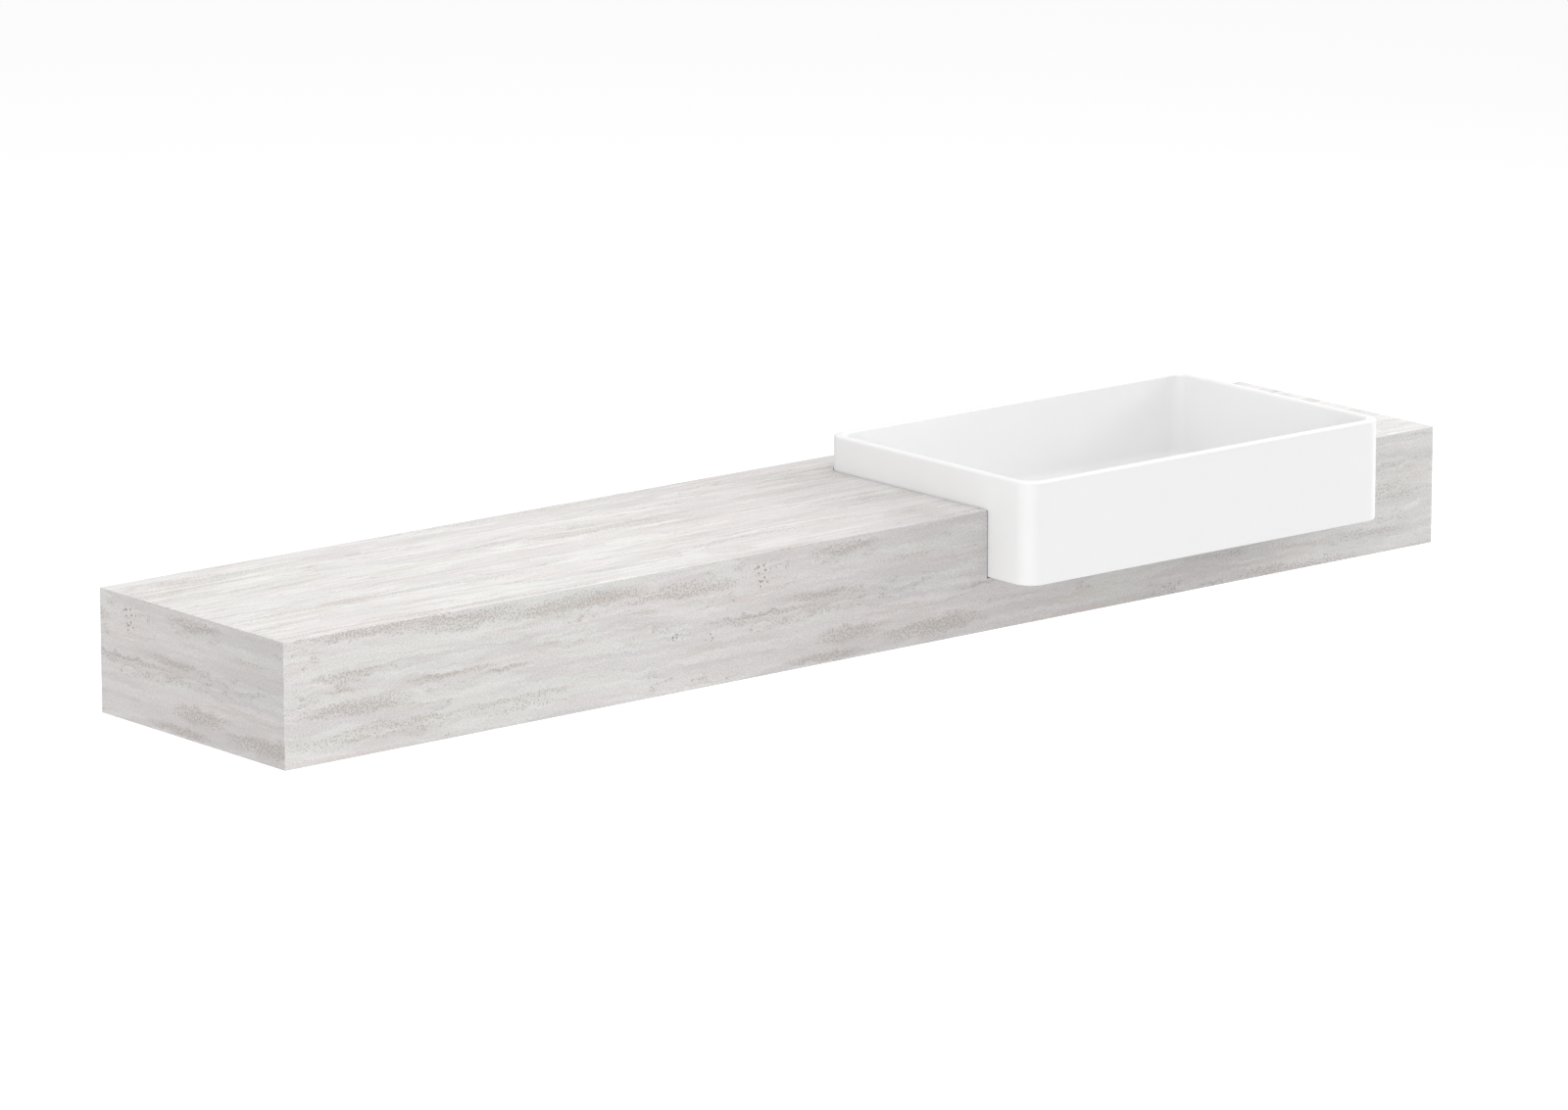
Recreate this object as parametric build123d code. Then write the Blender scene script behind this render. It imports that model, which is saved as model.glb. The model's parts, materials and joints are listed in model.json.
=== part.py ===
from build123d import *

import os

# Wall-hung vanity: a hollow stone-faced slab with a ceramic basin let into its top and front.
# Millimetres. X runs along the slab, Y into the wall, Z up.
# The origin is on the wall's face, at the slab's mid-length and mid-height.

# Stone shell, five plates mitred to a box that is open towards the wall
SLAB_LENGTH = 1800
SLAB_DEPTH = 357
SLAB_HEIGHT = 150
STONE = 12
ARRIS = 0.8
TRAP_OPENING = 160
TRAP_OPENING_CORNER = 20

# Basin, straight-sided, standing above the top and out in front of the slab
BASIN_WIDTH = 587.5
BASIN_DEPTH = 378
BASIN_HEIGHT = 127.5
BASIN_FROM_RIGHT_END = 450
BASIN_FROM_WALL = 53
BASIN_ABOVE_TOP = 44
BASIN_WALL = 11
BASIN_FLOOR = 13.5
BASIN_FALL = 2.5
BASIN_CORNER = 24.5
BOWL_FILLET = 20
FLOOR_EDGE = 2
RIM_FILLET = 3
BASE_CHAMFER = 2
FOOT_WIDTH = 16
FOOT_HEIGHT = 3
WASTE_BOSS = 96

# Joint between the basin and the stone
BASIN_GAP = 1.3
SEALANT_RECESS = 0.6
SEALANT_CLEARANCE = 0.05

# Plywood carcass inside the stone
PLY = 18
BACK_RAIL_SETBACK = 6
RAIL_NOTCH_GAP = 5
BATTEN_WIDTH = 20
SHELF_HOLE = 92

# Rubber pads that carry the basin on the shelf
PAD_THICKNESS = 3
PAD_WIDTH = 12
PAD_LENGTH = 60
PAD_GAP = 30
PAD_COUNT = 3

# Wall brackets, each a drilled plate with a box-section arm welded on
BRACKET_BESIDE_BASIN = 46.25
PLATE_WIDTH = 60
PLATE_HEIGHT = 96
BOLT_SPACING = 72
BOLT_HOLE = 11
ARM_WIDTH = 25
ARM_HEIGHT = 50
ARM_WALL = 3
ARM_CORNER = 4
ARM_CLEARANCE = 0.5
ARM_TIP_GAP = 36
RAIL_OPENING_WIDTH = 40
RAIL_OPENING_HEIGHT = 88
PLUG_FLANGE = 2
PLUG_LENGTH = 12

# Waste fitting in the bowl's floor, with a plug that is pushed shut and springs up
WASTE_FROM_WALL = 200
WASTE_HOLE = 46
WASTE_RECESS_WIDTH = 74
WASTE_RECESS_DEPTH = 4
WASTE_RECESS_FLARE = 3
SEAL_THICKNESS = 1.5
FLANGE_WIDTH = 66
FLANGE_HEIGHT = 2.5
FLANGE_SEAL_WIDTH = 64
TAIL_WIDTH = 41.9
TAIL_BORE = 35
TAIL_LENGTH = 58
TRAP_THREAD = 29
UNDERCUT_WIDTH = 2
UNDERCUT_DEPTH = 1
BRIDGE_FROM_TOP = 36
BRIDGE_HEIGHT = 5
BRIDGE_WIDTH = 12
WASHER_WIDTH = 64
WASHER_THICKNESS = 3
NUT_FLATS = 54
NUT_HEIGHT = 8
THREAD_CLEARANCE = 0.05
CAP_WIDTH = 62
CAP_HEIGHT = 4.5
CAP_BEVEL = 1.5
CAP_SEAT_GAP = 0.4
PLUG_SEAL_GAP = 0.3
PLUG_SEAL_HEIGHT = 2.5
GUIDE_STEM = 7
GUIDE_CLEARANCE = 0.08
GUIDE_STOP_GAP = 0.3
GUIDE_SLEEVE = 12
GUIDE_TOP_ROOM = 5
SLEEVE_ROOF = 2
SPRING_WIDTH = 6
SPRING_WIRE = 0.7
SPRING_END_GAP = 0.2

# Places that follow from the sizes
slab_end = SLAB_LENGTH / 2
slab_top = SLAB_HEIGHT / 2
inner_end = slab_end - STONE
inner_top = slab_top - STONE
inner_front = -SLAB_DEPTH + STONE

basin_x = slab_end - BASIN_FROM_RIGHT_END
basin_y = -BASIN_FROM_WALL - BASIN_DEPTH / 2
basin_left = basin_x - BASIN_WIDTH / 2
basin_right = basin_x + BASIN_WIDTH / 2
basin_rim = slab_top + BASIN_ABOVE_TOP
basin_base = basin_rim - BASIN_HEIGHT
bowl_floor = basin_base + BASIN_FLOOR

rail_back = -BACK_RAIL_SETBACK
rail_front = rail_back - PLY
front_rail_back = inner_front + PLY
shelf_top = basin_base - PAD_THICKNESS
shelf_base = shelf_top - PLY

sleeve_inside = ARM_WIDTH / 2 + ARM_CLEARANCE
sleeve_outside = sleeve_inside + PLY
outer_bracket = basin_right + BRACKET_BESIDE_BASIN
inner_bracket = basin_left - BRACKET_BESIDE_BASIN
bracket_places = (
    -outer_bracket,
    (inner_bracket - outer_bracket) / 2,
    inner_bracket,
    outer_bracket,
)
arm_tip = front_rail_back + ARM_TIP_GAP

waste_x = basin_x
waste_y = -WASTE_FROM_WALL
flange_seat = bowl_floor - BASIN_FALL - WASTE_RECESS_DEPTH
flange_base = flange_seat + SEAL_THICKNESS
flange_top = flange_base + FLANGE_HEIGHT
tail_end = flange_base - TAIL_LENGTH
bridge_top = flange_top - BRIDGE_FROM_TOP
cap_base = flange_top + CAP_SEAT_GAP
guide_top = cap_base - SLEEVE_ROOF - GUIDE_TOP_ROOM


def block(x, y, z):
    """A box between a low and a high value along each axis."""
    sizes = [high - low for low, high in (x, y, z)]
    middle = [(high + low) / 2 for low, high in (x, y, z)]
    return Pos(*middle) * Box(*sizes)


def prism(plane, *points):
    """A long bar whose section is a polygon on one of the three main planes."""
    return extrude(plane * Polygon(*points, align=None), SLAB_LENGTH, both=True)


def turned(*points):
    """A round part on the waste's axis, from (radius, height) points."""
    outline = Plane.XZ * Polyline(*points, close=True)
    return Pos(waste_x, waste_y, 0) * revolve(make_face(outline), Axis.Z)


def ring(inner_width, outer_width, low, high):
    """A plain ring on the waste's axis."""
    inner = inner_width / 2
    outer = outer_width / 2
    return turned((inner, low), (outer, low), (outer, high), (inner, high))


def upright(width, x, y, low, high):
    """A vertical cylinder between two heights."""
    return Pos(x, y, (low + high) / 2) * Cylinder(width / 2, high - low)


def basin_outline(growth, height):
    """The basin's plan at a height, grown all round by the given amount."""
    plan = RectangleRounded(
        BASIN_WIDTH + 2 * growth, BASIN_DEPTH + 2 * growth, BASIN_CORNER + growth
    )
    return Pos(basin_x, basin_y, height) * plan


# Stone shell
def stone_envelope():
    """The whole slab as a solid, with every outer edge but the wall's slightly eased."""
    slab = block((-slab_end, slab_end), (-SLAB_DEPTH, 0), (-slab_top, slab_top))
    outer_edges = slab.edges().filter_by(lambda edge: edge.center().Y < -ARRIS)
    return chamfer(outer_edges, ARRIS)


def level_plate(envelope, side):
    """The top plate, or the bottom one with side -1, mitred to the front and the ends."""
    outer = side * slab_top
    inner = side * inner_top
    ends = prism(
        Plane.XZ, (-slab_end, outer), (slab_end, outer), (inner_end, inner), (-inner_end, inner)
    )
    front = prism(Plane.YZ, (-SLAB_DEPTH, outer), (0, outer), (0, inner), (inner_front, inner))
    return envelope & ends & front


def front_plate(envelope):
    ends = prism(
        Plane.XY,
        (-slab_end, -SLAB_DEPTH),
        (slab_end, -SLAB_DEPTH),
        (inner_end, inner_front),
        (-inner_end, inner_front),
    )
    edges = prism(
        Plane.YZ,
        (-SLAB_DEPTH, -slab_top),
        (-SLAB_DEPTH, slab_top),
        (inner_front, inner_top),
        (inner_front, -inner_top),
    )
    return envelope & ends & edges


def end_plate(envelope, side):
    outer = side * slab_end
    inner = side * inner_end
    edges = prism(
        Plane.XZ, (outer, -slab_top), (outer, slab_top), (inner, inner_top), (inner, -inner_top)
    )
    front = prism(Plane.XY, (outer, -SLAB_DEPTH), (outer, 0), (inner, 0), (inner, inner_front))
    return envelope & edges & front


def basin_notch():
    """What is cut from the stone for the basin, open at the top."""
    return extrude(basin_outline(BASIN_GAP, basin_base - BASIN_GAP), BASIN_HEIGHT)


def bottom_plate(envelope):
    plate = level_plate(envelope, -1)
    opening = RectangleRounded(TRAP_OPENING, TRAP_OPENING, TRAP_OPENING_CORNER)
    return plate - extrude(Pos(waste_x, waste_y, -slab_top) * opening, STONE)


def stone_shell():
    envelope = stone_envelope()
    notch = basin_notch()
    return {
        "top_slab": level_plate(envelope, 1) - notch,
        "front_slab": front_plate(envelope) - notch,
        "end_slab_left": end_plate(envelope, -1),
        "end_slab_right": end_plate(envelope, 1),
        "bottom_slab": bottom_plate(envelope),
    }


# Carcass
def front_rail():
    rail = block((-inner_end, inner_end), (inner_front, front_rail_back), (-inner_top, inner_top))
    return rail - extrude(basin_outline(RAIL_NOTCH_GAP, shelf_top), BASIN_HEIGHT)


def back_rail():
    rail = block((-inner_end, inner_end), (rail_front, rail_back), (-inner_top, inner_top))
    for x in bracket_places:
        opening = Box(RAIL_OPENING_WIDTH, PLY, RAIL_OPENING_HEIGHT)
        rail -= Pos(x, (rail_front + rail_back) / 2, 0) * opening
    return rail


def sleeve(x, number):
    """Two ribs and two packers round one arm between the rails, the upper packer resting on it."""
    run = (front_rail_back, rail_front)
    parts = {}
    for side, name in ((-1, "left"), (1, "right")):
        faces = sorted((x + side * sleeve_inside, x + side * sleeve_outside))
        parts[f"sleeve_rib_{number}_{name}"] = block(faces, run, (-inner_top, inner_top))
    across = (x - sleeve_inside, x + sleeve_inside)
    arm_top = ARM_HEIGHT / 2
    lower_face = -arm_top - 2 * ARM_CLEARANCE
    parts[f"sleeve_packer_{number}_top"] = block(across, run, (arm_top, inner_top))
    parts[f"sleeve_packer_{number}_bottom"] = block(across, run, (-inner_top, lower_face))
    return parts


def basin_shelf():
    shelf = block(
        (inner_bracket + sleeve_outside, outer_bracket - sleeve_outside),
        (front_rail_back, rail_front),
        (shelf_base, shelf_top),
    )
    return shelf - upright(SHELF_HOLE, waste_x, waste_y, shelf_base, shelf_top)


def shelf_batten(side):
    """A strip that stands on the bottom plate, against a rib, under one end of the shelf."""
    rib_face = outer_bracket - sleeve_outside if side > 0 else inner_bracket + sleeve_outside
    faces = sorted((rib_face, rib_face - side * BATTEN_WIDTH))
    return block(faces, (front_rail_back, rail_front), (-inner_top, shelf_base))


def carcass():
    parts = {
        "front_rail": front_rail(),
        "back_rail": back_rail(),
        "basin_shelf": basin_shelf(),
        "shelf_batten_left": shelf_batten(-1),
        "shelf_batten_right": shelf_batten(1),
    }
    for number, x in enumerate(bracket_places, 1):
        parts.update(sleeve(x, number))
    return parts


# Wall brackets
def bracket_plate():
    plate = Plane.XZ * Rectangle(PLATE_WIDTH, PLATE_HEIGHT)
    plate -= Plane.XZ * GridLocations(0, BOLT_SPACING, 1, 2) * Circle(BOLT_HOLE / 2)
    return extrude(plate, BACK_RAIL_SETBACK)


def bracket_arm():
    """The box section, from the plate's face to its open end."""
    section = RectangleRounded(ARM_WIDTH, ARM_HEIGHT, ARM_CORNER)
    section -= Rectangle(ARM_WIDTH - 2 * ARM_WALL, ARM_HEIGHT - 2 * ARM_WALL)
    return extrude(Plane.XZ.offset(BACK_RAIL_SETBACK) * section, -BACK_RAIL_SETBACK - arm_tip)


def wall_bracket(x):
    return Pos(x, 0, 0) * (bracket_plate() + bracket_arm())


def arm_end_plug(x):
    """The plastic plug in an arm's open end."""
    flange = block(
        (-ARM_WIDTH / 2, ARM_WIDTH / 2),
        (arm_tip - PLUG_FLANGE, arm_tip),
        (-ARM_HEIGHT / 2, ARM_HEIGHT / 2),
    )
    side = ARM_WIDTH / 2 - ARM_WALL
    top = ARM_HEIGHT / 2 - ARM_WALL
    stem = block((-side, side), (arm_tip, arm_tip + PLUG_LENGTH), (-top, top))
    return Pos(x, 0, 0) * (flange + stem)


def wall_hardware():
    parts = {
        f"wall_bracket_{number}": wall_bracket(x) for number, x in enumerate(bracket_places, 1)
    }
    parts["arm_end_plugs"] = Part() + [arm_end_plug(x) for x in bracket_places]
    return parts


# Basin
def bowl_hollow():
    """The bowl's inside: upright walls, round corners and foot, four flat slopes to the waste."""
    half_width = BASIN_WIDTH / 2 - BASIN_WALL
    half_depth = BASIN_DEPTH / 2 - BASIN_WALL
    hollow = block(
        (basin_x - half_width, basin_x + half_width),
        (basin_y - half_depth, basin_y + half_depth),
        (bowl_floor, basin_rim),
    )
    rounded = hollow.edges().filter_by(Axis.Z) + hollow.edges().group_by(Axis.Z)[0]
    hollow = fillet(rounded, BOWL_FILLET)
    inset = BOWL_FILLET + FLOOR_EDGE
    landing = WASTE_RECESS_WIDTH / 2 + WASTE_RECESS_FLARE + FLOOR_EDGE
    low = bowl_floor - BASIN_FALL
    across = prism(
        Plane.XZ,
        (basin_x - half_width + inset, bowl_floor),
        (basin_x + half_width - inset, bowl_floor),
        (waste_x + landing, low),
        (waste_x - landing, low),
    )
    along = prism(
        Plane.YZ,
        (basin_y - half_depth + inset, bowl_floor),
        (basin_y + half_depth - inset, bowl_floor),
        (waste_y + landing, low),
        (waste_y - landing, low),
    )
    return hollow + (across & along)


def waste_seat():
    """The flared recess for the flange and the hole under it."""
    recess = WASTE_RECESS_WIDTH / 2
    hole = WASTE_HOLE / 2
    floor = bowl_floor - BASIN_FALL
    return turned(
        (0, bowl_floor),
        (recess + WASTE_RECESS_FLARE, bowl_floor),
        (recess + WASTE_RECESS_FLARE, floor),
        (recess, flange_seat),
        (hole, flange_seat),
        (hole, basin_base),
        (0, basin_base),
    )


def foot_hollow():
    """The shallow recess under the basin, inside its foot and round the waste's boss."""
    plan = Pos(basin_x, basin_y, basin_base) * RectangleRounded(
        BASIN_WIDTH - 2 * FOOT_WIDTH, BASIN_DEPTH - 2 * FOOT_WIDTH, BASIN_CORNER
    )
    return extrude(plan - Pos(waste_x, waste_y, basin_base) * Circle(WASTE_BOSS / 2), FOOT_HEIGHT)


def basin():
    body = extrude(basin_outline(0, basin_base), BASIN_HEIGHT)
    body = chamfer(body.edges().group_by(Axis.Z)[0], BASE_CHAMFER)
    body -= bowl_hollow()
    body = fillet(body.edges().group_by(Axis.Z)[-1], RIM_FILLET)
    return body - waste_seat() - foot_hollow()


def basin_pads():
    """Pads under the two long runs of the basin's foot, centred on the shelf's depth."""
    middle = (max(front_rail_back, -BASIN_FROM_WALL - BASIN_DEPTH) - BASIN_FROM_WALL) / 2
    pad = Box(PAD_WIDTH, PAD_LENGTH, PAD_THICKNESS)
    height = shelf_top + PAD_THICKNESS / 2
    across = BASIN_WIDTH - FOOT_WIDTH
    places = GridLocations(across, PAD_LENGTH + PAD_GAP, 2, PAD_COUNT)
    return Part() + [place * pad for place in Pos(basin_x, middle, height) * places]


def joint_sealant():
    """The bead that fills the gap round the basin, as deep as the stone and set just below its face."""
    outside = BASIN_GAP - SEALANT_CLEARANCE
    bead = extrude(
        basin_outline(outside, basin_base - outside), slab_top - SEALANT_RECESS - basin_base + outside
    )
    bead -= extrude(basin_outline(SEALANT_CLEARANCE, basin_base - SEALANT_CLEARANCE), BASIN_HEIGHT)
    face = -SLAB_DEPTH + SEALANT_RECESS
    in_top = block((-slab_end, slab_end), (face, 0), (inner_top, slab_top))
    in_front = block((-slab_end, slab_end), (face, inner_front), (-slab_top, slab_top))
    return bead & (in_top + in_front)


# Waste fitting
def waste_body():
    """The flanged tail, with a bridge inside that holds the plug's guide.

    Outside, an undercut parts the trap's thread below from the back nut's thread above.
    """
    outer = TAIL_WIDTH / 2
    bore = TAIL_BORE / 2
    undercut_low = tail_end + TRAP_THREAD
    undercut_high = undercut_low + UNDERCUT_WIDTH
    shell = turned(
        (bore, tail_end),
        (outer, tail_end),
        (outer, undercut_low),
        (outer - UNDERCUT_DEPTH, undercut_low),
        (outer - UNDERCUT_DEPTH, undercut_high),
        (outer, undercut_high),
        (outer, flange_base),
        (FLANGE_WIDTH / 2, flange_base),
        (FLANGE_WIDTH / 2, flange_top),
        (bore, flange_top),
    )
    bridge = block(
        (waste_x - BRIDGE_WIDTH / 2, waste_x + BRIDGE_WIDTH / 2),
        (waste_y - outer + UNDERCUT_DEPTH, waste_y + outer - UNDERCUT_DEPTH),
        (bridge_top - BRIDGE_HEIGHT, bridge_top),
    )
    thread = GUIDE_STEM + 2 * THREAD_CLEARANCE
    hole = upright(thread, waste_x, waste_y, bridge_top - BRIDGE_HEIGHT, bridge_top)
    return shell + bridge - hole


def waste_nut():
    """The hexagonal back nut under the basin."""
    top = basin_base - WASHER_THICKNESS
    hexagon = RegularPolygon(NUT_FLATS / 2, 6, major_radius=False)
    section = hexagon - Circle(TAIL_WIDTH / 2 + THREAD_CLEARANCE)
    return extrude(Pos(waste_x, waste_y, top - NUT_HEIGHT) * section, NUT_HEIGHT)


def guide_base():
    """The fixed half of the plug's guide, a stem screwed into the bridge."""
    return upright(GUIDE_STEM, waste_x, waste_y, bridge_top - BRIDGE_HEIGHT, guide_top)


def guide_sleeve():
    """The sliding half, closed at the top, that carries the cap."""
    bore = GUIDE_STEM / 2 + GUIDE_CLEARANCE
    outer = GUIDE_SLEEVE / 2
    foot = bridge_top + GUIDE_STOP_GAP
    return turned(
        (bore, foot),
        (outer, foot),
        (outer, cap_base),
        (0, cap_base),
        (0, cap_base - SLEEVE_ROOF),
        (bore, cap_base - SLEEVE_ROOF),
    )


def plug_cap():
    """The cap, a disc with a bevelled upper edge."""
    disc = upright(CAP_WIDTH, waste_x, waste_y, cap_base, cap_base + CAP_HEIGHT)
    return chamfer(disc.edges().group_by(Axis.Z)[-1], CAP_BEVEL)


def waste_fitting():
    washer_low = basin_base - WASHER_THICKNESS
    bore = TAIL_WIDTH + 2 * THREAD_CLEARANCE
    seal_width = TAIL_BORE - 2 * PLUG_SEAL_GAP
    seal_low = cap_base - PLUG_SEAL_HEIGHT
    spring_low = guide_top + SPRING_END_GAP
    spring_high = cap_base - SLEEVE_ROOF - SPRING_END_GAP
    return {
        "waste_body": waste_body(),
        "waste_flange_seal": ring(WASTE_HOLE, FLANGE_SEAL_WIDTH, flange_seat, flange_base),
        "waste_washer": ring(bore, WASHER_WIDTH, washer_low, basin_base),
        "waste_nut": waste_nut(),
        "guide_base": guide_base(),
        "guide_spring": ring(
            SPRING_WIDTH - 2 * SPRING_WIRE, SPRING_WIDTH, spring_low, spring_high
        ),
        "guide_sleeve": guide_sleeve(),
        "plug_cap": plug_cap(),
        "plug_seal": ring(GUIDE_SLEEVE, seal_width, seal_low, cap_base),
    }


def main():
    os.makedirs("parts", exist_ok=True)
    parts = {
        **stone_shell(),
        **carcass(),
        **wall_hardware(),
        "basin": basin(),
        "basin_pads": basin_pads(),
        "joint_sealant": joint_sealant(),
        **waste_fitting(),
    }
    for name, part in parts.items():
        part.label = name
        export_step(part, f"parts/{name}.step")


main()
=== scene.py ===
"""Looks of a wall-hung vanity: a slab in travertine with a white basin let into its top and front.

Metres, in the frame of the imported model. X runs along the slab, Y into the wall, Z up.
"""

import json
import math

import bmesh
import bpy
from mathutils import Matrix, Vector

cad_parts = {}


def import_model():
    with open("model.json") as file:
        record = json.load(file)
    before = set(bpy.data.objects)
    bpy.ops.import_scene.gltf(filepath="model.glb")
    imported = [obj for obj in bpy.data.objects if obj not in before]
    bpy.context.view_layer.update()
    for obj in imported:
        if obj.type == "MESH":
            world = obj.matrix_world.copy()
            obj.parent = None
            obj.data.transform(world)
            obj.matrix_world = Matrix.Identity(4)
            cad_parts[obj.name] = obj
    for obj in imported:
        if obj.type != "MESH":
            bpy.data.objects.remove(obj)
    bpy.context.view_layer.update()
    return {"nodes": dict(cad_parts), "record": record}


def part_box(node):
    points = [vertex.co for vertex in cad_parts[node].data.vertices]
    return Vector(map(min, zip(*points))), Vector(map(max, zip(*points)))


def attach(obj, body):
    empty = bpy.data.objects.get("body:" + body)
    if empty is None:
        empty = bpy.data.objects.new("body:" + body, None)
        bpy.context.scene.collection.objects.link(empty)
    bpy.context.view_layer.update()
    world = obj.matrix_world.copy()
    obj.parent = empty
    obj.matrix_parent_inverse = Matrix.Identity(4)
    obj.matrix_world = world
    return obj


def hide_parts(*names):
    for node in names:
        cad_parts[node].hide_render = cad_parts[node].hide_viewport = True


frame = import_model()

# Camera, from the perspective of the slab's edges in the photograph, in degrees and millimetres
# but for its place and its reach
CAMERA_PLACE = Vector((-6.56764, -8.05268, 2.38584))
CAMERA_YAW = 39.7648
CAMERA_PITCH = -13.0401
CAMERA_ROLL = -0.0661
CAMERA_LENS = 199.48
SENSOR_WIDTH = 36.0

CAMERA_REACH = 200.0

# Floor and light
RIM_ABOVE_FLOOR = 0.85
FLOOR_SIZE = 60.0
FLOOR_WHITE = (0.88, 0.88, 0.88, 1)
FLOOR_LIFT = 0.35
WORLD_LIGHT = 0.68

# Basin
BASIN_WALL = 0.011
BASIN_CORNER = 0.0245
BOWL_CORNER = 0.020
BOWL_FOOT = 0.019
BOWL_DEPTH = 0.114
BOWL_FALL = 0.0025
RIM_ROUND = 0.003
BASE_ROUND = 0.0025
FOOT_WIDTH = 0.016
FOOT_HEIGHT = 0.003
BOSS_RADIUS = 0.048
SEAT_DEPTH = 0.004
SEAT_RADIUS = 0.037
SEAT_FLARE = 0.003
SEAT_ROUND = 0.0008
WASTE_HOLE_RADIUS = 0.023
CREASE = 0.0005
BOWL_CORNER_SPREAD = 0.15

# Waste fitting
WALL_TO_WASTE = 0.200
FLANGE_RADIUS = 0.033
FLANGE_HEIGHT = 0.0025
FLANGE_ROUND = 0.001
MOUTH_FLARE = 0.002
TAIL_RADIUS = 0.02095
TAIL_BORE_RADIUS = 0.0175
BRIDGE_FROM_TOP = 0.036
BRIDGE_HEIGHT = 0.005
BRIDGE_WIDTH = 0.012
BRIDGE_ROUND = 0.0006
THREAD_PITCH = 0.0023
THREAD_DEPTH = 0.001
THREAD_UNDER_FLANGE = 0.004
CAP_ROUND = 0.0018
CAP_CROWN = 0.0008
CAP_CREASE = 0.0002
CAP_EDGE_DEGREES = 84
CAP_TOP_RADIUS = 0.0004
CAP_BASE_RADIUS = 0.004

# Steps that curves and faces are divided into
CORNER_STEPS = 12
SIDE_STEPS = 16
ARC_STEPS = 8
TURN_STEPS = 96
BOWL_FOOT_STEPS = 14
BOWL_FLOOR_STEPS = 12
UNDERSIDE_STEPS = 8
CROWN_STEPS = 12
ROWS_PER_THREAD = 6

# Edges that bend by more than this are shaded sharp
SHARP_DEGREES = 35

basin_low, basin_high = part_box("basin")
basin_middle = (basin_low + basin_high) / 2
basin_half = (basin_high - basin_low) / 2
slab_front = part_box("front_slab")[0].y
slab_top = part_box("top_slab")[1].z
slab_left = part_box("end_slab_left")[0].x
slab_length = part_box("end_slab_right")[1].x - slab_left
waste_middle = Vector((basin_middle.x, -WALL_TO_WASTE, 0))
bowl_floor = basin_high.z - BOWL_DEPTH


def linear(value):
    """One 8-bit sRGB value as linear light."""
    share = value / 255
    return share / 12.92 if share <= 0.04045 else ((share + 0.055) / 1.055) ** 2.4


def colour(red, green, blue):
    """An 8-bit sRGB colour as a linear colour with alpha."""
    return (linear(red), linear(green), linear(blue), 1.0)


class Finish:
    """A material with short calls for the nodes that the finishes here are made of."""

    def __init__(self, name, roughness=0.5, metallic=0.0):
        self.material = bpy.data.materials.new(name)
        self.material.use_nodes = True
        self.tree = self.material.node_tree
        self.surface = self.tree.nodes["Principled BSDF"]
        self.surface.inputs["Roughness"].default_value = roughness
        self.surface.inputs["Metallic"].default_value = metallic
        self.object_place = self.tree.nodes.new("ShaderNodeTexCoord").outputs["Object"]

    def node(self, kind, inputs=(), **settings):
        made = self.tree.nodes.new("ShaderNode" + kind)
        for name, value in settings.items():
            setattr(made, name, value)
        for key, value in dict(inputs).items():
            if isinstance(value, bpy.types.NodeSocket):
                self.tree.links.new(value, made.inputs[key])
            else:
                made.inputs[key].default_value = value
        return made

    def shifted(self, place, scale, offset):
        inputs = {"Vector": place, "Scale": scale, "Location": offset}
        return self.node("Mapping", inputs).outputs[0]

    def noise(self, place, scale, seed, detail, roughness=0.5, dimensions="3D"):
        """Noise with its own number of waves per metre along each axis."""
        inputs = {
            "Vector": self.shifted(place, scale, (seed, seed * 1.7, seed * 0.6)),
            "Scale": 1.0,
            "Detail": detail,
            "Roughness": roughness,
        }
        return self.node("TexNoise", inputs, noise_dimensions=dimensions).outputs[0]

    def flat_noise(self, place, scale, seed, detail, roughness=0.5):
        """The same on a plane, which is quicker to work out."""
        return self.noise(place, (*scale, 1), seed, detail, roughness, "2D")

    def reach(self, vector):
        """How far a place is from the origin."""
        return self.node("VectorMath", {0: vector}, operation="LENGTH").outputs["Value"]

    def calc(self, operation, first, second=0.0):
        return self.node("Math", {0: first, 1: second}, operation=operation).outputs[0]

    def step(self, value, low, high, new_low=0.0, new_high=1.0):
        """A soft step from one value to another, clamped at both ends."""
        inputs = {0: value, 1: low, 2: high, 3: new_low, 4: new_high}
        return self.node("MapRange", inputs, interpolation_type="SMOOTHSTEP").outputs[0]

    def line(self, value, centre, width):
        """1 where the value is at the centre, 0 where it is more than the width away."""
        distance = self.calc("ABSOLUTE", self.calc("SUBTRACT", value, centre))
        return self.step(distance, 0.0, width, 1.0, 0.0)

    def mix(self, factor, first, second, blend_type="MIX"):
        inputs = {0: factor, 6: first, 7: second}
        return self.node("Mix", inputs, data_type="RGBA", blend_type=blend_type).outputs[2]

    def ramp(self, value, *stops):
        """Colours at places from 0 to 1."""
        made = self.node("ValToRGB", {0: value})
        elements = made.color_ramp.elements
        while len(elements) < len(stops):
            elements.new(0.5)
        for element, (position, tint) in zip(elements, stops):
            element.position = position
            element.color = tint
        return made.outputs[0]

    def grey(self, value):
        return self.node("CombineColor", {0: value, 1: value, 2: value}).outputs[0]

    def base(self, value):
        if isinstance(value, bpy.types.NodeSocket):
            self.tree.links.new(value, self.surface.inputs["Base Color"])
        else:
            self.surface.inputs["Base Color"].default_value = value

    def rough(self, value):
        self.tree.links.new(value, self.surface.inputs["Roughness"])

    def bump(self, height, distance):
        made = self.node("Bump", {"Height": height, "Distance": distance, "Strength": 1.0})
        self.tree.links.new(made.outputs[0], self.surface.inputs["Normal"])


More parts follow.
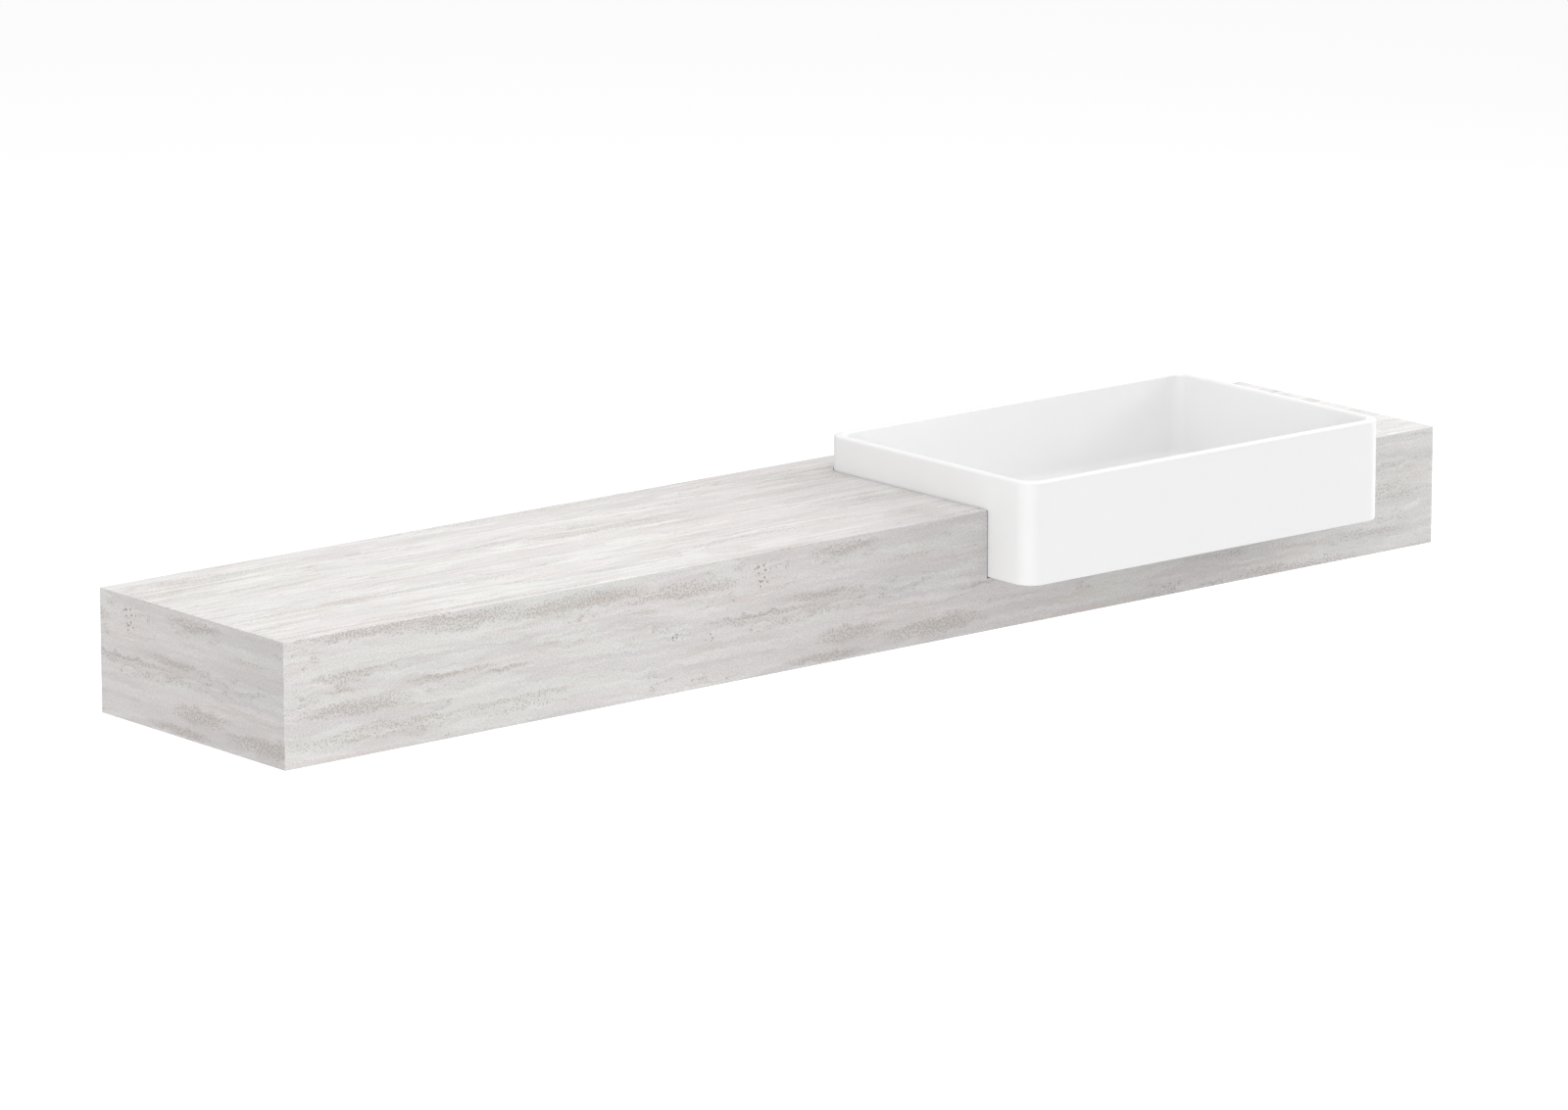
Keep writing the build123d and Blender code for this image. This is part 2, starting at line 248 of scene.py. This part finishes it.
# Stone
# Every plate takes its pattern from one sheet. Front, top and bottom are unfolded on it, so that
# bands run on over the long mitred edges, and the two ends show other stretches of it. "along" is
# measured from the slab's left end, "down" from the front's top edge.
LEFT_END_ALONG = 0.645
RIGHT_END_ALONG = 1.86
STONE_GREIGE = colour(213, 210, 209)
STONE_PINK = colour(221, 217, 216)
STONE_COOL = colour(224, 225, 221)
STONE_BROWN = colour(140, 125, 110)
STONE_OCHRE = colour(200, 189, 177)
STONE_PIT = colour(118, 102, 82)
STONE_GREY = colour(186, 182, 180)
STONE_WHITE = colour(242, 241, 240)

# Marks that show in the photograph: along, down, half length, half height
BROWN_MARKS = (
    (0.12, 0.004, 0.10, 0.008),
    (0.26, 0.010, 0.10, 0.011),
    (0.42, 0.018, 0.12, 0.012),
    (0.58, 0.029, 0.10, 0.010),
    (0.09, 0.051, 0.06, 0.005),
    (0.24, 0.076, 0.07, 0.005),
    (0.32, 0.083, 0.04, 0.004),
    (0.10, 0.090, 0.09, 0.012),
    (0.10, 0.130, 0.03, 0.004),
    (0.20, 0.121, 0.03, 0.004),
    (0.70, 0.074, 0.10, 0.003),
    (0.80, 0.064, 0.06, 0.004),
    (0.84, 0.116, 0.06, 0.010),
    (0.80, 0.138, 0.07, 0.007),
    (0.83, 0.014, 0.06, 0.007),
    (0.97, 0.132, 0.09, 0.012),
    (1.06, 0.088, 0.06, 0.003),
)
COOL_MARKS = (
    (0.15, 0.032, 0.14, 0.012),
    (0.28, 0.055, 0.07, 0.010),
    (0.26, 0.096, 0.10, 0.010),
    (0.41, 0.053, 0.07, 0.008),
    (0.43, 0.081, 0.09, 0.008),
    (0.55, 0.082, 0.06, 0.006),
    (0.50, 0.004, 0.13, 0.007),
    (0.63, 0.010, 0.05, 0.009),
    (0.86, 0.024, 0.07, 0.007),
    (0.98, 0.080, 0.06, 0.008),
)
PIT_MARKS = (
    (0.702, 0.020, 0.016, 0.009),
    (0.704, 0.036, 0.010, 0.010),
    (0.573, 0.083, 0.012, 0.005),
    (0.622, 0.090, 0.010, 0.006),
)


def marks_mask(stone, place, marks):
    """1 inside any of the marks, falling softly to 0 at their edges."""
    total = 0.0
    for along, down, half_length, half_height in marks:
        scale = (1 / half_length, 1 / half_height, 0)
        offset = (-along / half_length, -down / half_height, 0)
        reach = stone.reach(stone.shifted(place, scale, offset))
        total = stone.calc("MAXIMUM", total, stone.step(reach, 0.4, 1.2, 1.0, 0.0))
    return total


def sheet_axis(stone, axes, axis, sign, start):
    """One coordinate on the sheet, from the axis that it follows, its sign and where it starts."""
    return stone.calc("ADD", stone.calc("MULTIPLY", axes[axis], sign), start)


def waved(stone, flat, run, fall):
    """Places on the sheet whose beds wave, with ragged and trembling edges."""
    for scale, seed, detail, height in (
        ((3.0, 11.0), 3.1, 2, 0.024),
        ((45.0, 90.0), 8.4, 4, 0.012),
        ((230.0, 260.0), 4.6, 1, 0.005),
    ):
        shift = stone.calc("SUBTRACT", stone.flat_noise(flat, scale, seed, detail, 0.6), 0.5)
        fall = stone.calc("ADD", fall, stone.calc("MULTIPLY", shift, height))
    return stone.node("CombineXYZ", {0: run, 1: fall}).outputs[0]


def cool_patches(stone, place, run):
    """Where the ground turns pale and cool, more often towards the left end."""
    patches = stone.flat_noise(place, (4.2, 30.0), 31.0, 4, 0.6)
    cool_marks = marks_mask(stone, place, COOL_MARKS)
    patches = stone.calc("ADD", patches, stone.calc("MULTIPLY", cool_marks, 0.16))
    return stone.calc("ADD", patches, stone.step(run, 0.25, 0.60, 0.05, -0.03))


def ground(stone, place, patches):
    """Greige with pinkish beds and the pale, cool patches."""
    beds = stone.flat_noise(place, (2.0, 26.0), 2.2, 3, 0.55)
    tint = stone.mix(stone.step(beds, 0.42, 0.62), STONE_GREIGE, STONE_PINK)
    return stone.mix(stone.step(patches, 0.52, 0.60, 0.0, 0.55), tint, STONE_COOL)


def streaked(stone, tint, place, strength):
    """Fine white, grey and ochre streaks along the beds."""
    streaks = stone.flat_noise(place, (9.0, 150.0), 12.0, 4, 0.65)
    tint = stone.mix(stone.step(streaks, 0.50, 0.66, 0.0, 0.75 * strength), tint, STONE_WHITE)
    tint = stone.mix(stone.step(streaks, 0.47, 0.32, 0.0, 0.55 * strength), tint, STONE_GREY)
    ochre = stone.flat_noise(place, (3.6, 75.0), 44.0, 4, 0.62)
    return stone.mix(stone.step(ochre, 0.56, 0.66, 0.0, 0.75 * strength), tint, STONE_OCHRE)


def dotted(stone, tint, flat, place, patches, speck):
    """Brown dots, in bands and along the edges of the cool patches."""
    bands = stone.flat_noise(place, (1.8, 30.0), 7.5, 4, 0.6)
    density = stone.step(bands, 0.56, 0.70, 0.0, 0.75)
    density = stone.calc("MAXIMUM", density, marks_mask(stone, place, BROWN_MARKS))
    edges = stone.line(patches, 0.535, 0.020)
    gaps = stone.step(stone.flat_noise(flat, (8.0, 30.0), 23.0, 2), 0.46, 0.60)
    density = stone.calc("MAXIMUM", density, stone.calc("MULTIPLY", edges, gaps))
    crowded = stone.calc("ADD", speck, stone.calc("MULTIPLY", density, 0.15))
    dots = stone.step(crowded, 0.60, 0.70, 0.0, 0.42)
    tint = stone.mix(stone.calc("MULTIPLY", density, 0.04), tint, STONE_BROWN)
    return stone.mix(stone.calc("MULTIPLY", dots, stone.step(density, 0.0, 0.4)), tint, STONE_BROWN)


def pit_mask(stone, flat):
    """1 inside the open pits, which lie in clusters."""
    cells = stone.shifted(flat, (230.0, 230.0, 1), (0, 0, 0))
    distance = stone.node("TexVoronoi", {"Vector": cells, "Scale": 1.0}).outputs["Distance"]
    clusters = stone.step(stone.flat_noise(flat, (7.0, 26.0), 61.0, 1), 0.86, 0.92)
    clusters = stone.calc("MAXIMUM", clusters, marks_mask(stone, flat, PIT_MARKS))
    return stone.calc("MULTIPLY", stone.step(distance, 0.42, 0.22), clusters)


def grain_tone_and_painted_light(stone, tint, run, fine, painted_light_level):
    """Grain, the slow change of colour along the slab with painted shade near the basin, and the
    plate's painted light level.
    """
    tint = stone.mix(1.0, tint, stone.grey(stone.step(fine, 0.32, 0.68, 0.90, 1.05)), "MULTIPLY")
    # Colour along the slab, partly the stone's own and partly painted shade: the dip from 0.43 to
    # 0.90 paints the shadow of the basin's apron, and the cool right end is the stone's own.
    tone_and_painted_shade = stone.ramp(
        stone.calc("DIVIDE", run, slab_length),
        (0.00, (1.01, 1.01, 1.01, 1)),
        (0.32, (1.00, 1.00, 1.00, 1)),
        (0.43, (0.94, 0.935, 0.935, 1)),
        (0.56, (0.85, 0.845, 0.845, 1)),
        (0.78, (0.755, 0.75, 0.75, 1)),
        (0.90, (0.96, 0.97, 0.97, 1)),
        (1.00, (0.99, 1.00, 1.00, 1)),
    )
    tint = stone.mix(1.0, tint, tone_and_painted_shade, "MULTIPLY")
    # Painted light: the plate's level makes the top lighter and the left end darker, as the light
    # falls on them.
    return stone.mix(1.0, tint, (painted_light_level, painted_light_level, painted_light_level, 1), "MULTIPLY")


def travertine(name, along, down, streak_strength, painted_light_level=1.0):
    """The stone's pattern for one plate, given how its sheet coordinates follow from the place."""
    stone = Finish(name, roughness=0.55)
    axes = stone.node("SeparateXYZ", {0: stone.object_place}).outputs
    run = sheet_axis(stone, axes, *along)
    fall = sheet_axis(stone, axes, *down)
    flat = stone.node("CombineXYZ", {0: run, 1: fall}).outputs[0]
    place = waved(stone, flat, run, fall)
    speck = stone.flat_noise(flat, (360.0, 400.0), 1.3, 1)
    grain = stone.flat_noise(flat, (520.0, 560.0), 5.7, 1)
    fine = stone.calc("MULTIPLY", stone.calc("ADD", grain, speck), 0.5)
    patches = cool_patches(stone, place, run)
    pits = pit_mask(stone, flat)
    tint = ground(stone, place, patches)
    tint = streaked(stone, tint, place, streak_strength)
    tint = dotted(stone, tint, flat, place, patches, speck)
    tint = stone.mix(stone.calc("MULTIPLY", pits, 0.65), tint, STONE_PIT)
    stone.base(grain_tone_and_painted_light(stone, tint, run, fine, painted_light_level))
    stone.rough(stone.step(fine, 0.3, 0.7, 0.50, 0.62))
    stone.bump(stone.calc("SUBTRACT", stone.calc("MULTIPLY", fine, 0.15), pits), 0.0005)
    return stone.material


def stone_finishes():
    """One material per plate, from the axis, sign and start of its two sheet coordinates."""
    slab_height = 2 * slab_top
    along_slab = ("X", 1.0, -slab_left)
    down_front = ("Z", -1.0, slab_top)
    across_top = ("Y", -1.0, slab_front)
    across_bottom = ("Y", 1.0, slab_height - slab_front)
    along_left = ("Y", -1.0, LEFT_END_ALONG)
    along_right = ("Y", 1.0, RIGHT_END_ALONG)
    return {
        # The last number is painted light: the top plate is made lighter and the left end darker.
        "top_slab": travertine("stone_top", along_slab, across_top, 0.48, 1.12),
        "front_slab": travertine("stone_front", along_slab, down_front, 0.35),
        "bottom_slab": travertine("stone_bottom", along_slab, across_bottom, 0.6),
        "end_slab_left": travertine("stone_left", along_left, down_front, 0.3, 0.955),
        "end_slab_right": travertine("stone_right", along_right, down_front, 0.3),
    }


# Other finishes
def glaze():
    """White satin glaze whose gloss varies very slightly."""
    finish = Finish("glaze", roughness=0.30)
    ripple = finish.noise(finish.object_place, (14, 14, 14), 4.0, detail=2)
    finish.base(finish.ramp(ripple, (0.2, colour(242, 242, 242)), (0.8, colour(244, 244, 244))))
    finish.rough(finish.step(ripple, 0.3, 0.7, 0.28, 0.33))
    return finish.material


PLY_VENEERS = 13

# Keeps the far face of a board within its last veneer
PLY_LAST_FACE = 0.01


def plywood(name, thickness_axis):
    """Birch ply with each veneer's grain across the next, seen as stripes on the edges."""
    finish = Finish(name, roughness=0.6)
    across_board = finish.node("TexCoord").outputs["Generated"]
    axes = finish.node("SeparateXYZ", {0: across_board}).outputs
    depth = finish.calc("MULTIPLY", axes[thickness_axis], PLY_VENEERS - PLY_LAST_FACE)
    turned = finish.calc("MODULO", finish.calc("FLOOR", depth), 2.0)
    grain_along = finish.noise(finish.object_place, (4, 150, 150), 3.0, detail=5, roughness=0.6)
    grain_across = finish.noise(finish.object_place, (150, 4, 4), 9.0, detail=5, roughness=0.6)
    face = finish.ramp(grain_along, (0.3, colour(216, 192, 154)), (0.7, colour(236, 216, 182)))
    cross = finish.ramp(grain_across, (0.3, colour(184, 152, 112)), (0.7, colour(206, 176, 136)))
    finish.base(finish.mix(turned, face, cross))
    finish.bump(grain_along, 0.0002)
    return finish.material


def powder_coat():
    """Black powder coat with its fine texture."""
    finish = Finish("powder_coat", roughness=0.5)
    ripple = finish.noise(finish.object_place, (900, 900, 900), 2.0, detail=2)
    finish.base(finish.ramp(ripple, (0.3, colour(34, 34, 36)), (0.7, colour(52, 52, 54))))
    finish.bump(ripple, 0.00008)
    return finish.material


def metal(name, low, high, roughness, brushed):
    """A plated or drawn metal, with fine marks across the given numbers of waves per metre."""
    finish = Finish(name, roughness=roughness, metallic=1.0)
    marks = finish.noise(finish.object_place, brushed, 6.0, detail=4, roughness=0.6)
    finish.base(finish.ramp(marks, (0.3, low), (0.7, high)))
    finish.rough(finish.step(marks, 0.3, 0.7, roughness * 0.8, roughness * 1.25))
    finish.bump(marks, 0.00002)
    return finish.material


def moulded(name, low, high, roughness, waves=500, depth=0.00004):
    """Plastic, rubber or silicone with a fine mould texture."""
    finish = Finish(name, roughness=roughness)
    marks = finish.noise(finish.object_place, (waves, waves, waves), 5.0, detail=3)
    finish.base(finish.ramp(marks, (0.3, low), (0.7, high)))
    finish.rough(finish.step(marks, 0.3, 0.7, roughness * 0.9, min(1.0, roughness * 1.15)))
    finish.bump(marks, depth)
    return finish.material


def dress(node, material):
    """Gives a CAD node its material."""
    mesh = frame["nodes"][node].data
    mesh.materials.clear()
    mesh.materials.append(material)


def dress_nodes(chrome):
    """Gives every CAD node the finish of its slot, and each stone plate its own."""
    rubber = moulded("rubber", colour(30, 30, 31), colour(48, 48, 49), 0.7)
    silicone = moulded("silicone", colour(104, 100, 97), colour(122, 118, 115), 0.45, 120)
    black_plastic = moulded("black_plastic", colour(24, 24, 25), colour(36, 36, 37), 0.5)
    white_plastic = moulded("white_plastic", colour(222, 222, 220), colour(236, 236, 234), 0.4)
    steel = metal("spring_steel", colour(150, 150, 150), colour(190, 190, 190), 0.35, (300, 300, 900))
    brass = metal("brass", colour(190, 152, 84), colour(222, 186, 116), 0.3, (900, 900, 60))
    coat = powder_coat()
    ply = {axis: plywood("plywood_" + axis.lower(), axis) for axis in "XYZ"}
    for node, material in stone_finishes().items():
        dress(node, material)
    for slot, material in (
        ("rubber", rubber),
        ("silicone", silicone),
        ("black_plastic", black_plastic),
        ("white_plastic", white_plastic),
        ("spring_steel", steel),
        ("brass", brass),
        ("powder_coated_steel", coat),
        ("chrome", chrome),
    ):
        for node in nodes_of(slot):
            dress(node, material)
    for node in nodes_of("plywood"):
        low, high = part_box(node)
        size = high - low
        dress(node, ply["XYZ"[min(range(3), key=lambda axis: size[axis])]])


def nodes_of(slot):
    """The names of the CAD nodes in a material slot."""
    return [part["node"] for part in frame["record"]["subparts"] if part["material_slot"] == slot]


# Shapes
def arc(centre_out, centre_up, radius, start, end, steps=ARC_STEPS):
    """(out, up) points on an arc, from one angle to another in degrees."""
    points = []
    for step in range(steps + 1):
        angle = math.radians(start + (end - start) * step / steps)
        points.append((centre_out + radius * math.cos(angle), centre_up + radius * math.sin(angle)))
    return points


def rounded_ring(inset, radius, height):
    """The basin's outline drawn in by an inset, with the same number of points for any size."""
    corners = []
    for turn, (side_x, side_y) in enumerate(((1, 1), (-1, 1), (-1, -1), (1, -1))):
        centre = Vector(
            (
                basin_middle.x + side_x * (basin_half.x - inset - radius),
                basin_middle.y + side_y * (basin_half.y - inset - radius),
                height,
            )
        )
        bend = arc(0, 0, radius, 90 * turn, 90 * turn + 90, CORNER_STEPS)
        corners.append([centre + Vector((x, y, 0)) for x, y in bend])
    points = []
    for turn, corner in enumerate(corners):
        points += corner
        start, end = corner[-1], corners[(turn + 1) % 4][0]
        points += [start.lerp(end, step / SIDE_STEPS) for step in range(1, SIDE_STEPS)]
    return points


def round_ring(radius, height):
    """A circle round the waste, whose points lie in the same directions as the bowl's."""
    middle = Vector((waste_middle.x, waste_middle.y, height))
    points = []
    for point in rounded_ring(BASIN_WALL, BOWL_CORNER, height):
        points.append(middle + radius * (point - middle).normalized())
    return points


def between(first, second, steps):
    """The rings that lie between two rings, without the two themselves."""
    rings = []
    for step in range(1, steps):
        share = step / steps
        rings.append([a.lerp(b, share) for a, b in zip(first, second)])
    return rings


def loft(name, rings, closed):
    """A mesh of quads through rings with equal numbers of points."""
    made = bmesh.new()
    rows = [[made.verts.new(point) for point in ring] for ring in rings]
    pairs = list(zip(rows, rows[1:]))
    if closed:
        pairs.append((rows[-1], rows[0]))
    for first, second in pairs:
        for index in range(len(first)):
            following = (index + 1) % len(first)
            made.faces.new((first[index], first[following], second[following], second[index]))
    if not closed:
        made.faces.new(rows[0])
        made.faces.new(rows[-1])
    return finish_mesh(name, made)


def finish_mesh(name, made):
    """An object from a mesh in the making, smooth but for its sharp edges, with outward faces."""
    mesh = bpy.data.meshes.new(name)
    sharp = math.radians(SHARP_DEGREES)
    bmesh.ops.recalc_face_normals(made, faces=made.faces)
    for face in made.faces:
        face.smooth = True
    for edge in made.edges:
        edge.smooth = len(edge.link_faces) == 2 and edge.calc_face_angle() < sharp
    made.to_mesh(mesh)
    made.free()
    piece = bpy.data.objects.new(name, mesh)
    bpy.context.scene.collection.objects.link(piece)
    return piece


def place_piece(piece, body, material):
    """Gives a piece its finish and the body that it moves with."""
    piece.data.materials.append(material)
    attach(piece, body)


def turned_rings(outline):
    """Rings round the waste's axis, one through each (radius, height) point."""
    rings = []
    for radius, height in outline:
        ring = arc(0, 0, radius, 0, 360, TURN_STEPS)[:-1]
        rings.append([waste_middle + Vector((x, y, height)) for x, y in ring])
    return rings


# Basin
def basin_rings():
    """The basin's section from the outer wall over the rim, down the bowl, the waste and the foot."""
    rim = basin_high.z
    base = basin_low.z
    outer = []
    for inset, height in [(0, base + BASE_ROUND + CREASE), (0, rim - RIM_ROUND - CREASE)]:
        outer.append(rounded_ring(inset, BASIN_CORNER, height))
    for out, up in arc(RIM_ROUND, rim - RIM_ROUND, RIM_ROUND, 180, 90):
        outer.append(rounded_ring(out, BASIN_CORNER - out, up))
    inner_edge = BASIN_WALL - RIM_ROUND
    inner = []
    for out, up in arc(inner_edge, rim - RIM_ROUND, RIM_ROUND, 90, 0):
        inner.append(rounded_ring(out, BOWL_CORNER + BASIN_WALL - out, up))
    foot_top = bowl_floor + BOWL_FOOT
    for height in (rim - RIM_ROUND - CREASE, foot_top + CREASE):
        inner.append(rounded_ring(BASIN_WALL, BOWL_CORNER, height))
    for out, up in arc(BASIN_WALL + BOWL_FOOT, foot_top, BOWL_FOOT, 180, 270, BOWL_FOOT_STEPS):
        inner.append(rounded_ring(out, BOWL_CORNER + BOWL_CORNER_SPREAD * (out - BASIN_WALL), up))
    flare = bowl_floor - BOWL_FALL
    seat = flare - SEAT_DEPTH
    waste = [
        round_ring(radius, height)
        for radius, height in (
            (SEAT_RADIUS + SEAT_FLARE, flare),
            (SEAT_RADIUS + SEAT_ROUND, seat + SEAT_ROUND),
            (SEAT_RADIUS, seat),
            (WASTE_HOLE_RADIUS, seat),
            (WASTE_HOLE_RADIUS, base),
            (BOSS_RADIUS, base),
            (BOSS_RADIUS, base + FOOT_HEIGHT),
        )
    ]
    floor = between(inner[-1], waste[0], BOWL_FLOOR_STEPS)
    ceiling = rounded_ring(FOOT_WIDTH, BASIN_CORNER, base + FOOT_HEIGHT)
    under = between(waste[-1], ceiling, UNDERSIDE_STEPS)
    under += [ceiling, rounded_ring(FOOT_WIDTH, BASIN_CORNER, base)]
    for out, up in arc(BASE_ROUND, base + BASE_ROUND, BASE_ROUND, 270, 180):
        under.append(rounded_ring(out, BASIN_CORNER - out, up))
    return outer + inner + floor + waste + under


def basin():
    piece = loft("basin_shell", basin_rings(), closed=True)
    place_piece(piece, "root", glaze())
    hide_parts("basin")


# Waste
def thread_rings(low, high):
    """The outside of a thread between two heights, as rings from low to high."""
    rings = []
    count = round((high - low) / THREAD_PITCH * ROWS_PER_THREAD)
    for row in range(count + 1):
        height = low + (high - low) * row / count
        fade = min(1.0, (height - low) / THREAD_PITCH, (high - height) / THREAD_PITCH)
        ring = []
        for step in range(TURN_STEPS):
            turn = step / TURN_STEPS
            phase = (height / THREAD_PITCH - turn) % 1.0
            radius = TAIL_RADIUS - THREAD_DEPTH * abs(2 * phase - 1) * fade
            angle = 2 * math.pi * turn
            offset = Vector((radius * math.cos(angle), radius * math.sin(angle), height))
            ring.append(waste_middle + offset)
        rings.append(ring)
    return rings


def waste_tail(chrome):
    """The flanged and threaded tail."""
    low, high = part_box("waste_body")
    flange_low = high.z - FLANGE_HEIGHT
    inside = [
        (TAIL_BORE_RADIUS, low.z),
        (TAIL_BORE_RADIUS, high.z - MOUTH_FLARE),
        (TAIL_BORE_RADIUS + MOUTH_FLARE, high.z),
    ]
    edge = arc(FLANGE_RADIUS - FLANGE_ROUND, high.z - FLANGE_ROUND, FLANGE_ROUND, 90, 0)
    under = [(FLANGE_RADIUS, flange_low), (TAIL_RADIUS, flange_low)]
    rings = turned_rings(inside + edge + under)
    rings += reversed(thread_rings(low.z, flange_low - THREAD_UNDER_FLANGE))
    piece = loft("waste_tail", rings, closed=True)
    place_piece(piece, "root", chrome)
    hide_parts("waste_body")


def waste_bridge(chrome):
    """The bar across the tail that the plug's guide screws into."""
    middle = waste_middle + Vector((0, 0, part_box("waste_body")[1].z))
    middle.z -= BRIDGE_FROM_TOP + BRIDGE_HEIGHT / 2
    size = Matrix.Diagonal((BRIDGE_WIDTH, TAIL_BORE_RADIUS + TAIL_RADIUS, BRIDGE_HEIGHT, 1))
    made = bmesh.new()
    bmesh.ops.create_cube(made, size=1.0)
    bmesh.ops.transform(made, matrix=Matrix.Translation(middle) @ size, verts=made.verts)
    bmesh.ops.bevel(made, geom=made.edges[:], offset=BRIDGE_ROUND, segments=2, affect="EDGES")
    place_piece(finish_mesh("waste_bridge", made), "root", chrome)


def plug_cap(chrome):
    """The cap, slightly crowned, with a rounded edge."""
    low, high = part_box("plug_cap")
    radius = (high.x - low.x) / 2
    crown_edge = radius - CAP_ROUND
    edge_low = high.z - CAP_CROWN - CAP_ROUND
    outline = [(CAP_BASE_RADIUS, low.z), (radius, low.z), (radius, edge_low - CAP_CREASE)]
    outline += arc(crown_edge, edge_low, CAP_ROUND, 0, CAP_EDGE_DEGREES)
    for step in range(1, CROWN_STEPS):
        share = 1 - step / CROWN_STEPS
        outline.append((crown_edge * share, high.z - CAP_CROWN * share**2))
    outline.append((CAP_TOP_RADIUS, high.z))
    piece = loft("plug_cap_disc", turned_rings(outline), closed=False)
    place_piece(piece, "plug", chrome)
    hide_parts("plug_cap")


# Scene
def camera():
    """The photograph's viewpoint, from its place and three angles."""
    yaw = math.radians(CAMERA_YAW)
    pitch = math.radians(CAMERA_PITCH)
    roll = math.radians(CAMERA_ROLL)
    ahead = Vector(
        (math.sin(yaw) * math.cos(pitch), math.cos(yaw) * math.cos(pitch), math.sin(pitch))
    )
    level = Vector((math.cos(yaw), -math.sin(yaw), 0))
    upward = level.cross(ahead)
    right = level * math.cos(roll) + upward * math.sin(roll)
    up = upward * math.cos(roll) - level * math.sin(roll)
    data = bpy.data.cameras.new("camera")
    data.sensor_fit = "HORIZONTAL"
    data.sensor_width = SENSOR_WIDTH
    data.lens = CAMERA_LENS
    data.clip_end = CAMERA_REACH
    made = bpy.data.objects.new("camera", data)
    turn = Matrix((right, up, -ahead)).transposed()
    made.matrix_world = Matrix.Translation(CAMERA_PLACE) @ turn.to_4x4()
    bpy.context.scene.collection.objects.link(made)
    bpy.context.scene.camera = made


def floor():
    """A white floor, as far below the rim as such a basin is hung."""
    height = basin_high.z - RIM_ABOVE_FLOOR
    made = bmesh.new()
    bmesh.ops.create_grid(made, x_segments=2, y_segments=2, size=FLOOR_SIZE / 2)
    bmesh.ops.translate(made, vec=(0, 0, height), verts=made.verts)
    piece = finish_mesh("floor", made)
    paint = Finish("floor_paint", roughness=0.9)
    paint.base(FLOOR_WHITE)
    paint.surface.inputs["Specular IOR Level"].default_value = 0.0
    seen = paint.node("LightPath").outputs["Is Camera Ray"]
    paint.surface.inputs["Emission Color"].default_value = (1, 1, 1, 1)
    lift = paint.calc("MULTIPLY", seen, FLOOR_LIFT)
    paint.tree.links.new(lift, paint.surface.inputs["Emission Strength"])
    piece.data.materials.append(paint.material)


def world():
    """Even white light, and plain white where the camera sees past the floor."""
    made = bpy.data.worlds.new("studio")
    made.use_nodes = True
    bpy.context.scene.world = made
    nodes = made.node_tree.nodes
    links = made.node_tree.links
    seen = nodes.new("ShaderNodeLightPath").outputs["Is Camera Ray"]
    strength = nodes.new("ShaderNodeMix")
    strength.inputs[2].default_value = WORLD_LIGHT
    strength.inputs[3].default_value = 1.0
    links.new(seen, strength.inputs[0])
    links.new(strength.outputs[0], nodes["Background"].inputs["Strength"])
    nodes["Background"].inputs["Color"].default_value = (1, 1, 1, 1)


def softbox(name, place, target, width, height, power):
    """A rectangular light of a power in watts, turned towards a target."""
    data = bpy.data.lights.new(name, "AREA")
    data.shape = "RECTANGLE"
    data.size = width
    data.size_y = height
    data.energy = power
    made = bpy.data.objects.new(name, data)
    made.location = place
    made.rotation_euler = (Vector(target) - Vector(place)).to_track_quat("-Z", "Y").to_euler()
    bpy.context.scene.collection.objects.link(made)


def lights():
    """Soft light from above, the front left, the left and the right."""
    softbox("overhead", (0.4, -0.6, 3.6), (0.1, -0.2, 0), 4.0, 3.0, 53)
    softbox("front_left", (-3.2, -3.6, 0.4), (0.2, -0.2, 0), 3.0, 2.0, 33)
    softbox("left", (-4.6, -0.8, 0.9), (0.0, -0.2, 0), 2.4, 2.0, 24)
    softbox("right", (4.5, -0.8, 1.8), (0.3, -0.2, 0), 1.6, 1.6, 85)


def main():
    chrome = metal("chrome", colour(214, 216, 218), colour(228, 230, 232), 0.08, (60, 60, 60))
    dress_nodes(chrome)
    basin()
    waste_tail(chrome)
    waste_bridge(chrome)
    plug_cap(chrome)
    camera()
    floor()
    world()
    lights()
    bpy.context.scene.view_settings.view_transform = "Standard"


main()
